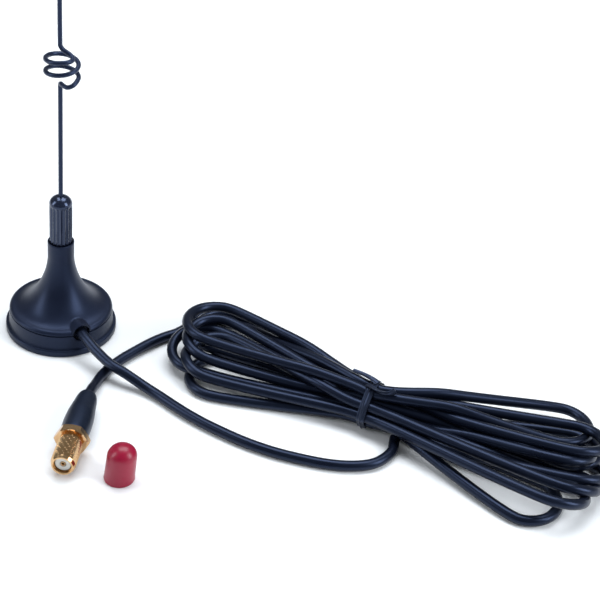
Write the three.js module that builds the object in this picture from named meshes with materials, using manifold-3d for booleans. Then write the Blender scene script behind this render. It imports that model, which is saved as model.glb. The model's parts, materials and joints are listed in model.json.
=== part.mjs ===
// A magnetic-mount cellular whip antenna: a trumpet-shaped base on a magnet, a screw-in whip with
// a phasing coil, and a coaxial lead folded into a tied hank, with a coaxial jack on its end and
// the jack's dust cap beside it. Millimetres, +Z up; the origin is the middle of the underside.
import * as THREE from 'three';
import { mergeVertices } from 'three/addons/utils/BufferGeometryUtils.js';
import Module from 'manifold-3d';

const wasm = await Module();
wasm.setup();

// ---- Clearances ----
const gap = 0.3; // between pieces that touch
const slip = 0.15; // radial play of a round piece in its own hole
const round = 40; // segments of a turned piece

// ---- Base ----
const baseRadius = 15;
const rimHeight = 2;
const rimEdge = 0.4;
const bandStep = 0.8; // how far the band's foot stands in from the rim
const bandTaper = 0.25;
const seamHeight = 6.1;
const ringWall = 1.05;
const coverWall = 1.2;
const shoulder = 1.1; // radius of the cover's rounded shoulder
const neckHeight = 27.9;
const neckWall = 0.35;
const neckChamfer = 0.15;
const flareTop = 23; // where the straight neck starts to widen
const flarePower = 1.7;

// ---- Magnet and underside ----
const padThickness = 0.5;
const padMargin = 1.4; // rim left bare around the pad
const magnetThickness = 2.3;
const potWall = 0.8;
const discThickness = 0.3;
const discRadius = 6;
const rivetRadius = 0.6;
const rivetInset = 2.3; // the lug's rivet, in from the pot's edge
const rivetTurn = THREE.MathUtils.degToRad(29); // and round from the lead
const lugLength = 4.2;
const lugWidth = 2.6;
const lugThickness = 0.35;

// ---- Whip and its thread ----
const ferruleRadius = 3.05;
const fluteCount = 18;
const fluteDepth = 0.22;
const ferruleShoulder = 39.6; // where the flutes end and the dome starts
const domeHeight = 2.5;
const pocketDepth = 4.9; // the ferrule's seat, below the neck's mouth
const washerThickness = 0.4;
const studRadius = 1.5;
const studBelow = 5.5; // stud below the ferrule's face
const studAbove = 3.8;
const insertWall = 0.65;
const insertLength = 8;
const insertFlange = 0.8;
const tagRadius = 1.6;
const tagThickness = 0.4;
const tagLegDepth = 2.6;
const tagLegWidth = 1.6;
const wireRadius = 0.6;
const wireSocket = 7; // how deep the wire sits in the ferrule
const coilBottom = 77.9; // height of the first back strand
const coilPitch = 3.45;
const coilRadius = 4.1;
const coilOffset = 0.45; // the coil stands a little off the whip's axis
const whipHeight = 245;
const tipRadius = 1.3;
const tipLength = 9;
const tipCover = 1.5; // rubber beyond the wire's end

// ---- Lead ----
const leadRadius = 1.4;
const exitAngle = THREE.MathUtils.degToRad(-57);
const grommetWall = 0.5;
const grommetLength = 3;
const exitRecess = 0.95; // the grommet's face, in from the wall
const hoodWall = 0.45;
const hoodInset = 0.1; // the hood's mouth, in from the band's face
const coreRadius = 0.75;
const conductorRadius = 0.28;
const pigtailRadius = 0.4;
const jacketStrip = 1.2; // where the jacket ends, off the disc
const hankHeight = 12;

// ---- Twist tie ----
const tieCentre = [86, -28];
const tieAngle = THREE.MathUtils.degToRad(-22); // the hank's own direction there
const tieWidth = 2.2;
const tieThickness = 0.6;
const tieLift = 0.1; // the tie's underside above the surface
const tieEndRadius = 0.8;
const bundleWidth = 14;
const bundleTop = 11;

// ---- Coaxial jack ----
const mouthAt = [10.93, -62.5];
const jackAngle = THREE.MathUtils.degToRad(-94);
const hexFlats = 8;
const hexThickness = 2;
const hexBevelDepth = 0.45;
const barrelRadius = 3.175; // 1/4-36 thread
const barrelLength = 9.4;
const reliefDepth = 0.45; // the undercut between the hexagon and the thread
const reliefLength = 0.9;
const leadIn = 0.9; // length of the thread's tapered start
const mouthRadius = barrelRadius - 0.825;
const mouthDepth = 0.6;
const insulatorRadius = mouthRadius - 0.3;
const contactRadius = 0.65;
const pinBore = 0.35;
const stemRadius = barrelRadius - 0.975;
const stemLength = 6;
const stemBore = 1.2;
const contactTail = 2;
const sleeveWall = 0.35;
const sleeveLength = 7;
const bootRadius = 3.7;
const bootTailRadius = 2.15;
const bootLength = 16.3;

// ---- Dust cap ----
const capAt = [24.7, -60.3];
const capRadius = 3.95;
const capTaper = 0.2;
const capWall = 0.85;
const capSide = 7.2; // height of the straight side
const capDome = 3.4;
const capLean = Math.tan(THREE.MathUtils.degToRad(4.5));

// ---- Sizes that follow ----
const bandFoot = baseRadius - bandStep;
const bandRadius = bandFoot - bandTaper;
const pocketRadius = ferruleRadius + slip;
const neckRadius = pocketRadius + neckWall;
const ringTop = seamHeight - gap / 2;
const coverFoot = seamHeight + gap / 2;
const ringBore = bandRadius - ringWall;
const padRadius = baseRadius - padMargin;
const magnetFoot = padThickness + gap;
const potRadius = ringBore - gap;
const magnetRadius = potRadius - potWall - gap;
const plateFoot = magnetFoot + magnetThickness + gap;
const potTop = plateFoot + potWall;
const discFoot = potTop + gap;
const discTop = discFoot + discThickness;
const exitHeight = discTop + gap + leadRadius;
const grommetRadius = leadRadius + slip + grommetWall;
const holeRadius = grommetRadius + gap;
const hoodRadius = holeRadius + hoodWall;
const grommetFace = bandRadius - exitRecess;
const pocketFloor = neckHeight - pocketDepth;
const washerFoot = pocketFloor + gap;
const ferruleFoot = washerFoot + washerThickness + gap;
const domeTop = ferruleShoulder + domeHeight;
const studFoot = ferruleFoot - studBelow;
const insertBore = studRadius + slip;
const insertRadius = insertBore + insertWall;
const insertTop = pocketFloor - gap;
const insertFoot = insertTop - insertLength;
const ledge = insertFoot + gap; // the cover's underside round the insert
const flangeFoot = insertFoot - insertFlange;
const tagTop = flangeFoot - gap;
const wireFoot = domeTop - wireSocket;

// ---- Materials ----
const material = (color, roughness, metalness) =>
  new THREE.MeshStandardMaterial({ color, roughness, metalness });
const mouldedBlack = material(0x1d2130, 0.45, 0);
const rimBlack = material(0x14161f, 0.55, 0);
const padBlack = material(0x101114, 0.8, 0);
const bareSteel = material(0x8d9095, 0.4, 1);
const magnetGrey = material(0x4a4b4f, 0.45, 0.9);
const fibre = material(0x9a7a4a, 0.8, 0);
const tinned = material(0xb9bcc0, 0.35, 1);
const brass = material(0xb08a45, 0.35, 1);
const blackPlate = material(0x1a1d28, 0.25, 0.6);
const blackWire = material(0x1b2033, 0.4, 0);
const rubber = material(0x0d0e12, 0.8, 0);
const jacketBlack = material(0x12141c, 0.5, 0);
const naturalPlastic = material(0xe9e6dc, 0.5, 0);
const copper = material(0xb4623a, 0.35, 1);
const gold = material(0xd9a45c, 0.25, 1);
const tieBlack = material(0x20242e, 0.5, 0);
const capRed = material(0xa5103a, 0.45, 0);

const antenna = new THREE.Group();

// A named piece in the antenna, or in a group of it.
function piece(name, geometry, finish, group = antenna) {
  const mesh = new THREE.Mesh(geometry, finish);
  mesh.name = name;
  group.add(mesh);
}

// ---- Shape helpers ----
// A turned piece from [radius, height] points; anticlockwise, with the radius to the right.
function turned(points, segments = round) {
  const profile = points.map(([r, z]) => new THREE.Vector2(r, z));
  return new THREE.LatheGeometry(profile, segments).rotateX(Math.PI / 2);
}

// A turned tube between two heights.
function sleeve(inner, outer, foot, top, segments = round) {
  return turned([[inner, foot], [outer, foot], [outer, top], [inner, top], [inner, foot]], segments);
}

// A turned rod between two heights.
function rod(radius, foot, top, segments = round) {
  return turned([[0, foot], [radius, foot], [radius, top], [0, top]], segments);
}

// A round cord or wire along a list of [x, y, z] points.
function along(points, radius, steps, sides = 8) {
  const section = new THREE.Shape(
    Array.from({ length: sides }, (_, i) => {
      const a = (2 * Math.PI * i) / sides;
      return new THREE.Vector2(radius * Math.cos(a), radius * Math.sin(a));
    }),
  );
  const route = new THREE.CatmullRomCurve3(points.map((p) => new THREE.Vector3(...p)));
  return new THREE.ExtrudeGeometry(section, { steps, extrudePath: route, bevelEnabled: false });
}

// A plate with an outline in plan, between two heights.
function plate(shape, foot, top) {
  const depth = top - foot;
  return new THREE.ExtrudeGeometry(shape, { depth, bevelEnabled: false }).translate(0, 0, foot);
}

// A box from its lowest and highest corners.
function block(low, high) {
  const size = high.map((h, i) => h - low[i]);
  const middle = high.map((h, i) => (h + low[i]) / 2);
  return new THREE.BoxGeometry(...size).translate(...middle);
}

// A closed geometry as a manifold solid, and back.
function solid(geometry) {
  const bare = geometry.clone();
  bare.deleteAttribute('normal');
  bare.deleteAttribute('uv');
  const merged = mergeVertices(bare);
  return new wasm.Manifold(new wasm.Mesh({
    numProp: 3,
    vertProperties: new Float32Array(merged.attributes.position.array),
    triVerts: new Uint32Array(merged.index.array),
  }));
}

function geometryOf(manifold) {
  const mesh = manifold.getMesh();
  const geometry = new THREE.BufferGeometry();
  geometry.setAttribute('position', new THREE.BufferAttribute(mesh.vertProperties, 3));
  geometry.setIndex(new THREE.BufferAttribute(mesh.triVerts, 1));
  return geometry;
}

// A rod lying along the lead's exit, from one distance off the axis to another.
function exitRod(radius, from, to, segments = 24) {
  return rod(radius, from, to, segments)
    .rotateY(Math.PI / 2)
    .translate(0, 0, exitHeight)
    .rotateZ(exitAngle);
}

// A point at a distance along the lead's exit, to one side of it, at a height.
function byExit(distance, aside, height) {
  const point = new THREE.Vector3(distance, aside, height);
  return point.applyAxisAngle(new THREE.Vector3(0, 0, 1), exitAngle).toArray();
}

// ---- Underside: pad, magnet and steel pot ----
piece('foot_pad', rod(padRadius, 0, padThickness), padBlack);
piece('magnet', rod(magnetRadius, magnetFoot, magnetFoot + magnetThickness), magnetGrey);

const rivetOut = potRadius - rivetInset;
const rivetAt = byExit(rivetOut * Math.cos(rivetTurn), rivetOut * Math.sin(rivetTurn), 0);
const pot = turned([
  [magnetRadius + gap, magnetFoot],
  [potRadius, magnetFoot],
  [potRadius, potTop],
  [0, potTop],
  [0, plateFoot],
  [magnetRadius + gap, plateFoot],
  [magnetRadius + gap, magnetFoot],
]);
const rivetHole = rod(rivetRadius + gap, plateFoot - gap, potTop + gap, 16)
  .translate(rivetAt[0], rivetAt[1], 0);
piece('steel_pot', geometryOf(solid(pot).subtract(solid(rivetHole))), bareSteel);
piece('insulator_disc', rod(discRadius, discFoot, discTop), fibre);

// ---- Base ring: the foot rim and the band up to the seam ----
const ring = turned([
  [padRadius + gap, 0],
  [baseRadius - rimEdge, 0],
  [baseRadius, rimEdge],
  [baseRadius, rimHeight - rimEdge],
  [baseRadius - rimEdge, rimHeight],
  [bandFoot, rimHeight],
  [bandRadius, ringTop],
  [ringBore, ringTop],
  [ringBore, magnetFoot],
  [padRadius + gap, magnetFoot],
  [padRadius + gap, 0],
]);
const exitHole = solid(exitRod(holeRadius, discRadius, baseRadius + 1));
piece('base_ring', geometryOf(solid(ring).subtract(exitHole)), rimBlack);

// ---- Cover: neck, flare, shoulder and the hood over the lead ----
// The flare is a superellipse from the neck's foot to the shoulder; its wall is measured square to it.
const flareFoot = coverFoot + shoulder;
const flareReach = bandRadius - shoulder - neckRadius;
const flareDrop = flareTop - flareFoot;
function flarePoint(t) {
  const out = 1 - (1 - t ** flarePower) ** (1 / flarePower);
  return new THREE.Vector2(neckRadius + flareReach * out, flareTop - flareDrop * t);
}
function flareInside(t) {
  const step = 1e-3;
  const here = flarePoint(t);
  const slope = flarePoint(t + step).sub(flarePoint(t - step)).normalize();
  return new THREE.Vector2(here.x + slope.y * coverWall, here.y - slope.x * coverWall);
}
const flareSteps = 12;
const flareShare = (i) => 1 - (1 - i / flareSteps) ** 1.5; // closer together towards the shoulder
const outside = [];
for (let i = flareSteps; i >= 0; i -= 1) {
  outside.push(flarePoint(flareShare(i)).toArray());
}
const corner = [];
for (let i = 0; i < 4; i += 1) {
  const a = (Math.PI / 2) * (i / 4);
  corner.push([bandRadius - shoulder + shoulder * Math.cos(a), coverFoot + shoulder * Math.sin(a)]);
}
const inside = [];
for (let i = 1; i < flareSteps; i += 1) {
  const [r, z] = flareInside(flareShare(i)).toArray();
  if (z < ledge - gap && z > coverFoot && r < bandRadius - coverWall) {
    inside.push([r, z]);
  }
}
const shell = turned([
  ...corner,
  ...outside,
  [neckRadius, neckHeight - neckChamfer],
  [neckRadius - neckChamfer, neckHeight],
  [pocketRadius, neckHeight],
  [pocketRadius, pocketFloor],
  [insertRadius + gap, pocketFloor],
  [insertRadius + gap, ledge],
  [inside[0][0], ledge],
  ...inside,
  [bandRadius - coverWall, coverFoot + shoulder / 3],
  [bandRadius - coverWall, coverFoot],
  corner[0],
]);
const hoodStart = discRadius + 2;
const hoodBlank = solid(exitRod(hoodRadius, hoodStart, baseRadius));
const hoodTrim = solid(rod(bandRadius - hoodInset, coverFoot, neckHeight));
const cover = solid(shell).add(hoodBlank.intersect(hoodTrim)).subtract(exitHole);
piece('base_cover', geometryOf(cover), mouldedBlack);

// ---- Threaded insert, its solder tag and the lock washer ----
piece('threaded_insert', turned([
  [0, flangeFoot],
  [insertRadius + insertFlange, flangeFoot],
  [insertRadius + insertFlange, insertFoot],
  [insertRadius, insertFoot],
  [insertRadius, insertTop],
  [insertBore, insertTop],
  [insertBore, studFoot - gap],
  [0, studFoot - gap],
], 32), brass);

const tagLegFoot = tagTop - tagLegDepth;
const tagLegBack = tagRadius - 0.1;
const tag = solid(rod(tagRadius, tagTop - tagThickness, tagTop, 24));
const leg = solid(block(
  [-tagLegWidth / 2, tagLegBack - tagThickness, tagLegFoot],
  [tagLegWidth / 2, tagLegBack, tagTop - tagThickness / 2],
));
piece('solder_tag', geometryOf(tag.add(leg)), tinned);

const washerTeeth = 10;
const washerOutline = new THREE.Shape();
for (let i = 0; i < washerTeeth * 2; i += 1) {
  const r = ferruleRadius - (i % 2 ? slip : 3 * slip);
  const a = (Math.PI * i) / washerTeeth;
  washerOutline[i ? 'lineTo' : 'moveTo'](r * Math.cos(a), r * Math.sin(a));
}
washerOutline.closePath();
const washerHole = new THREE.Path();
washerHole.absarc(0, 0, studRadius + slip, 0, 2 * Math.PI, true);
washerOutline.holes.push(washerHole);
piece('lock_washer', plate(washerOutline, washerFoot, washerFoot + washerThickness), bareSteel);

// ---- Ferrule: a fluted barrel with a domed top, bored for the stud and for the wire ----
const flutePoints = 3;
const fluteOutline = new THREE.Shape(
  Array.from({ length: fluteCount * flutePoints }, (_, i) => {
    const a = (2 * Math.PI * i) / (fluteCount * flutePoints);
    const r = ferruleRadius - fluteDepth * Math.sin((fluteCount * a) / 2) ** 2;
    return new THREE.Vector2(r * Math.cos(a), r * Math.sin(a));
  }),
);
const domeSteps = 8;
const ferruleProfile = [[0, ferruleFoot - gap], [ferruleRadius + gap, ferruleFoot - gap]];
for (let i = 0; i <= domeSteps; i += 1) {
  const a = (Math.PI / 2) * (i / domeSteps);
  const r = i === domeSteps ? 0 : ferruleRadius * Math.cos(a);
  ferruleProfile.push([r, ferruleShoulder + domeHeight * Math.sin(a)]);
}
const ferrule = solid(plate(fluteOutline, ferruleFoot, domeTop))
  .intersect(solid(turned(ferruleProfile)))
  .subtract(solid(rod(studRadius + slip, ferruleFoot - gap, ferruleFoot + studAbove + gap, 24)))
  .subtract(solid(rod(wireRadius + slip, wireFoot - gap, domeTop + gap, 16)));
piece('whip_ferrule', geometryOf(ferrule), blackPlate);
piece('whip_stud', rod(studRadius, studFoot, ferruleFoot + studAbove, 24), brass);

// ---- Whip wire: straight, a two-turn phasing coil with bent ends, straight to the tip ----
const coilSteps = 14; // points a turn
const coilTurns = 1.75;
// A point of the wire's bends, in coil radii from the whip's axis.
const bend = (x, y, z) => [x * coilRadius, y * coilRadius, z];
const wirePath = [
  [0, 0, wireFoot],
  [0, 0, (wireFoot + coilBottom) / 2],
  [0, 0, coilBottom - 4.5],
  [0, 0, coilBottom - 3],
  bend(0.06, -0.17, coilBottom - 2.3),
  bend(0.27, -0.46, coilBottom - 2.2),
  bend(0.56, -0.68, coilBottom - 2.1),
  bend(0.88, -0.59, coilBottom - 1.6),
];
for (let i = 0; i <= coilTurns * coilSteps; i += 1) {
  const a = (2 * Math.PI * i) / coilSteps;
  const z = coilBottom + coilPitch * (i / coilSteps - 0.25);
  wirePath.push([coilOffset + coilRadius * Math.cos(a), coilRadius * Math.sin(a), z]);
}
const coilTop = coilBottom + coilPitch * (coilTurns - 0.25);
wirePath.push(
  bend(0.56, -0.83, coilTop),
  bend(0.83, -0.46, coilTop),
  bend(0.76, -0.2, coilTop + 0.3),
  bend(0.54, -0.05, coilTop + 0.8),
  bend(0.22, 0, coilTop + 1.5),
  bend(0.02, 0, coilTop + 2.6),
  [0, 0, coilTop + 4],
  [0, 0, (coilTop + whipHeight) / 2],
  [0, 0, whipHeight - tipCover],
);
piece('whip_wire', along(wirePath, wireRadius, 112, 6), blackWire);

const tipBore = wireRadius + slip;
const tipRound = 0.75 * tipRadius;
piece('whip_tip', turned([
  [0, whipHeight - tipCover + gap],
  [tipBore, whipHeight - tipCover + gap],
  [tipBore, whipHeight - tipLength],
  [tipRound, whipHeight - tipLength],
  [tipRadius, whipHeight - tipLength + tipRound],
  [tipRadius, whipHeight - tipRound],
  [tipRound, whipHeight - tipRound / 4],
  [0, whipHeight],
], 20), rubber);

// ---- Lead inside the base: grommet, jacket, braid, dielectric and centre conductor ----
const grommetStart = grommetFace - grommetLength;
piece('lead_grommet', sleeve(leadRadius + slip, grommetRadius, grommetStart, grommetFace, 24)
  .rotateY(Math.PI / 2)
  .translate(0, 0, exitHeight)
  .rotateZ(exitAngle), rubber);
const jacketEnd = discRadius + jacketStrip;
piece('lead_inner', exitRod(leadRadius, jacketEnd, grommetFace, 16), jacketBlack);
const coreEnd = discRadius - 2.5; // the dielectric reaches in over the disc
piece('lead_dielectric', exitRod(coreRadius, coreEnd, jacketEnd - gap, 16), naturalPlastic);
piece('centre_conductor', along([
  byExit(coreEnd - gap, 0, exitHeight),
  byExit(coreEnd - 1.6, 0.1, exitHeight + 0.2),
  byExit(coreEnd - 2.9, 0.3, exitHeight + 1.4),
  [0.3, 0.5, tagLegFoot + 0.7],
  [0.1, 0.5, tagTop - tagThickness - 0.6],
], conductorRadius, 12, 6), copper);

const lugFoot = potTop + gap;
const lug = solid(block([-lugLength / 2, -lugWidth / 2, 0], [lugLength / 2, lugWidth / 2, lugThickness]))
  .subtract(solid(rod(rivetRadius + gap, -gap, lugThickness + gap, 16)))
  .rotate([0, 0, THREE.MathUtils.radToDeg(exitAngle + rivetTurn) + 90])
  .translate([rivetAt[0], rivetAt[1], lugFoot]);
piece('ground_lug', geometryOf(lug), tinned);
const rivetTop = lugFoot + lugThickness + gap;
piece('lug_rivet', turned([
  [0, plateFoot],
  [rivetRadius, plateFoot],
  [rivetRadius, rivetTop],
  [rivetRadius * 2, rivetTop],
  [rivetRadius * 1.6, rivetTop + rivetRadius * 0.8],
  [0, rivetTop + rivetRadius],
], 16).translate(rivetAt[0], rivetAt[1], 0), tinned);
const braidEnd = jacketEnd - gap - pigtailRadius;
const braidHeight = exitHeight - pigtailRadius;
piece('braid_pigtail', along([
  byExit(braidEnd, coreRadius + gap + pigtailRadius, braidHeight),
  byExit(braidEnd - 0.2, leadRadius + gap, braidHeight - 0.2),
  byExit(braidEnd - 0.1, leadRadius + 2 * pigtailRadius, braidHeight - 0.4),
  byExit(braidEnd + 0.2, leadRadius + 4 * pigtailRadius, lugFoot + lugThickness + gap + pigtailRadius),
], pigtailRadius, 8, 6), tinned);

// ---- Lead outside the base, as it lies ----
// From the exit down to the surface, over the lead's other end and round to the hank.
const fromBase = [
  [7.24, -11.15, exitHeight],
  [8.9, -13.4, 6.3],
  [11.6, -16.4, 5.5],
  [14.6, -19.3, 4.8],
  [17.5, -21.9, 4.5],
  [20.3, -23.4, 4.1],
  [23.2, -24.6, 3.1],
  [26.8, -26.2, 1.9],
  [30.6, -28.6, 1.45],
  [34.8, -31.9, 1.4],
  [38.9, -35, 1.4],
  [42.8, -37.6, 1.4],
  [46.6, -39.8, 1.4],
  [54, -43.6, 1.4],
  [61.4, -46.4, 1.4],
  [68.5, -48.1, 1.4],
  [76.1, -49.2, 1.4],
  [82.6, -48.9, 1.4],
  [87.6, -47.2, 1.4],
  [91.1, -43.5, 1.4],
  [92.4, -40, 1.4],
  [92.5, -37.3, 1.4],
];
piece('lead_from_base', along(fromBase, leadRadius, 26), jacketBlack);

// From behind the hank's far end, under the other length and up into the boot.
const toJack = [
  [37, 6.4, 1.4],
  [35.5, 4.2, 1.4],
  [34.1, 1.8, 1.4],
  [32.2, -0.6, 1.4],
  [29.4, -2.7, 1.4],
  [26.5, -5.3, 1.4],
  [23.7, -8.4, 1.4],
  [21.2, -11.5, 1.4],
  [18.7, -14.8, 1.4],
  [16.6, -18.2, 1.4],
  [15.1, -21.2, 1.4],
  [14.2, -24, 1.5],
  [13.7, -27.4, 2.2],
  [13.25, -30.9, 3.3],
  [12.93, -34.2, 4],
];
piece('lead_to_jack', along(toJack, leadRadius, 16), jacketBlack);

// The hank: its outline in plan, anticlockwise from the end next to the base.
const hankOutline = new THREE.CatmullRomCurve3([
  [33.2, -8], [33.8, -15], [38, -22.6], [46, -27.8], [60, -30.2], [75, -32.6], [88, -35.2],
  [96, -38], [107, -43.2], [119, -50.2], [129, -57.2], [135, -60.6], [141, -59], [144, -52],
  [146.4, -42], [147.4, -32], [143, -22.6], [132, -19], [118, -18.6], [104, -19.2], [90, -20],
  [78, -13.5], [66, -3], [56, 4.5], [47, 8.6], [41, 9.6], [38.3, 7.6], [39, 4.2], [36.6, -1.6],
].map(([x, y]) => new THREE.Vector3(x, y, 0)), true);
const hankShape = new THREE.Shape(hankOutline.getPoints(78).map((p) => new THREE.Vector2(p.x, p.y)));
const grooveWidth = tieWidth + 2 * gap;
const coreFoot = tieLift + tieThickness + gap;
const groove = solid(block(
  [-grooveWidth / 2, -2 * bundleWidth, -gap],
  [grooveWidth / 2, 2 * bundleWidth, hankHeight + gap],
)).subtract(solid(block(
  [-grooveWidth, -bundleWidth / 2, coreFoot],
  [grooveWidth, bundleWidth / 2, bundleTop],
)));
const atTie = (manifold) => manifold
  .rotate([0, 0, THREE.MathUtils.radToDeg(tieAngle)])
  .translate([...tieCentre, 0]);
piece('lead_hank', geometryOf(solid(plate(hankShape, 0, hankHeight)).subtract(atTie(groove))), jacketBlack);

// ---- Twist tie: a flat band round the bundle, its ends twisted together on top ----
const bandSide = bundleWidth / 2 + gap;
const bandOut = bandSide + tieThickness;
const bandInFoot = coreFoot - gap;
const bandInTop = bundleTop + gap;
const bandTop = bandInTop + tieThickness;
const tieBand = solid(block(
  [-tieWidth / 2, -bandOut, bandInFoot - tieThickness],
  [tieWidth / 2, bandOut, bandTop],
)).subtract(solid(block(
  [-tieWidth, -bandSide, bandInFoot],
  [tieWidth, bandSide, bandInTop],
)));
const tieEnds = solid(along([
  [-0.3, 2, bandTop - 0.2],
  [1.4, 2.6, bandTop + 1.2],
  [4, 3.6, bandTop + 1.5],
  [7, 4.4, bandTop + 2.1],
], tieEndRadius, 6, 6));
piece('twist_tie', geometryOf(atTie(tieBand.add(tieEnds))), tieBlack);

// ---- Coaxial jack: local +Z runs out of its mouth, with the origin at the flange's back ----
const jack = new THREE.Group();
const reach = hexThickness + barrelLength;
jack.rotation.set(0, Math.PI / 2, 0);
const jackTurn = new THREE.Group();
jackTurn.add(jack);
jackTurn.rotation.z = jackAngle;
jackTurn.position.set(
  mouthAt[0] - reach * Math.cos(jackAngle),
  mouthAt[1] - reach * Math.sin(jackAngle),
  hexFlats / 2,
);
antenna.add(jackTurn);

const hexCorner = hexFlats / Math.sqrt(3);
const hexShape = new THREE.Shape(
  Array.from({ length: 6 }, (_, i) => {
    const a = (Math.PI / 3) * (i + 0.5);
    return new THREE.Vector2(hexCorner * Math.cos(a), hexCorner * Math.sin(a));
  }),
);
const hexBevel = turned([
  [0, 0],
  [hexFlats / 2, 0],
  [hexCorner, hexBevelDepth],
  [hexCorner, hexThickness - hexBevelDepth],
  [hexFlats / 2, hexThickness],
  [0, hexThickness],
]);
const hex = solid(plate(hexShape, 0, hexThickness)).intersect(solid(hexBevel));
const insulatorFoot = hexThickness / 2;
const reliefRadius = barrelRadius - reliefDepth;
const body = hex
  .add(solid(turned([
    [0, -stemLength],
    [stemRadius, -stemLength],
    [stemRadius, insulatorFoot],
    [reliefRadius, insulatorFoot],
    [reliefRadius, hexThickness + reliefLength],
    [barrelRadius, hexThickness + reliefLength + reliefDepth],
    [barrelRadius, reach - leadIn],
    [barrelRadius - leadIn / 2, reach],
    [0, reach],
  ], 32)))
  .subtract(solid(rod(insulatorRadius + gap / 2, insulatorFoot, reach - mouthDepth + gap, 32)))
  .subtract(solid(rod(mouthRadius, reach - mouthDepth, reach + gap, 32)))
  .subtract(solid(rod(stemBore, -stemLength - gap, insulatorFoot + gap, 24)));
piece('jack_body', geometryOf(body), gold, jack);
const insulatorTop = reach - mouthDepth - slip;
const insulator = sleeve(contactRadius + slip, insulatorRadius, insulatorFoot + gap, insulatorTop, 24);
piece('jack_insulator', insulator, naturalPlastic, jack);
const contactTop = insulatorTop - 0.1;
const contactFloor = contactTop - 4; // bottom of the socket for the plug's pin
piece('jack_contact', turned([
  [0, -contactTail],
  [contactRadius, -contactTail],
  [contactRadius, contactTop],
  [pinBore, contactTop],
  [pinBore, contactFloor],
  [0, contactFloor],
], 16), gold, jack);
const sleeveRadius = stemRadius + slip + sleeveWall;
piece('crimp_sleeve', sleeve(stemRadius + slip, sleeveRadius, -gap - sleeveLength, -gap, 24), gold, jack);
const bootBack = -gap - bootLength;
const bootCavity = sleeveRadius + gap;
const bootStep = -2 * gap - sleeveLength;
const leadBore = leadRadius + slip;
piece('jack_boot', turned([
  [bootCavity, -gap],
  [bootCavity, bootStep],
  [leadBore, bootStep],
  [leadBore, bootBack],
  [bootTailRadius, bootBack],
  [bootTailRadius + 0.45, bootBack + 1.1],
  [bootRadius - 0.75, bootBack + 4.8],
  [bootRadius - 0.1, bootBack + 8.2],
  [bootRadius, bootBack + 12],
  [bootRadius - 0.15, -gap],
  [bootCavity, -gap],
], 32), rubber, jack);
piece('lead_in_boot', rod(leadRadius, bootBack, bootStep - gap, 16), jacketBlack, jack);

// ---- Dust cap: a soft moulded thimble, standing on its mouth with a slight lean ----
const capTopRadius = capRadius - capTaper;
const capInside = capRadius - capWall;
const capOuter = [];
const capInner = [];
const innerRadius = capInside - capTaper;
const capSteps = 7;
for (let i = 0; i <= capSteps; i += 1) {
  const a = (Math.PI / 2) * (i / capSteps);
  const onAxis = i === capSteps;
  capOuter.push([onAxis ? 0 : capTopRadius * Math.cos(a), capSide + capDome * Math.sin(a)]);
  capInner.unshift([onAxis ? 0 : innerRadius * Math.cos(a), capSide + (capDome - capWall) * Math.sin(a)]);
}
const lean = new THREE.Matrix4().makeShear(0, 0, 0, 0, capLean, 0);
const cap = turned([...capInner, [capInside, 0], [capRadius, 0], ...capOuter], 36)
  .applyMatrix4(lean)
  .translate(capAt[0], capAt[1], 0);
piece('dust_cap', cap, capRed);

export default antenna;
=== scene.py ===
# A magnetic-mount cellular antenna: the moulded base with its whip, the coaxial lead folded into a
# tied hank, the gold coaxial jack on the lead's end and the jack's red dust cap.
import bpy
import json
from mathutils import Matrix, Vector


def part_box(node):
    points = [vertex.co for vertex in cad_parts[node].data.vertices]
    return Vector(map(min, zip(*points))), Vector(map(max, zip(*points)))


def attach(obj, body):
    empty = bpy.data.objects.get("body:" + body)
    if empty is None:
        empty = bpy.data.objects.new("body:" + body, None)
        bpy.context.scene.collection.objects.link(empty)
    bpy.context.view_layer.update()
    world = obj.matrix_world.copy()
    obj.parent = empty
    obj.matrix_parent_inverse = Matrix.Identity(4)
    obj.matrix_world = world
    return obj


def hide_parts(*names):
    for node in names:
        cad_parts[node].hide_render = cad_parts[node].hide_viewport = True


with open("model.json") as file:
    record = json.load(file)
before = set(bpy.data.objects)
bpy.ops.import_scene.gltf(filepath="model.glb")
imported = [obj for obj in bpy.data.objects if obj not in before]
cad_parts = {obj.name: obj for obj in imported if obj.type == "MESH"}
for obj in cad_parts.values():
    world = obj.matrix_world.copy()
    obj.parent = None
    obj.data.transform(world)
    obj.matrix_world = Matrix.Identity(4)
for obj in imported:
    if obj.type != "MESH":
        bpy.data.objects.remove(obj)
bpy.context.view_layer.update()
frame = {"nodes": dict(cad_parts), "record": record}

import json
import math
import bmesh
import bpy
import numpy as np
from mathutils import Matrix


# ---- Studio ----
# A pale table under soft boxes, and a long lens looking down on it at 35 degrees.
MM = 0.001
camera_at = np.array([64.95, -374.4, 283.2]) * MM
camera_pitch = math.radians(35.51)
camera_roll = math.radians(5.53)
level = np.array([1.0, 0.0, 0.0])
rise = np.array([0.0, math.sin(camera_pitch), math.cos(camera_pitch)])
forward = np.array([0.0, math.cos(camera_pitch), -math.sin(camera_pitch)])
right_hand = level * math.cos(camera_roll) + rise * math.sin(camera_roll)
upward = rise * math.cos(camera_roll) - level * math.sin(camera_roll)
camera = bpy.data.objects.new("camera", bpy.data.cameras.new("camera"))
camera.data.lens = 102
camera.data.sensor_width = 36
camera.data.clip_start = 0.01
turn = Matrix(np.column_stack([right_hand, upward, -forward]).tolist())
camera.matrix_world = Matrix.Translation(camera_at.tolist()) @ turn.to_4x4()
bpy.context.collection.objects.link(camera)
bpy.context.scene.camera = camera

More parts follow.
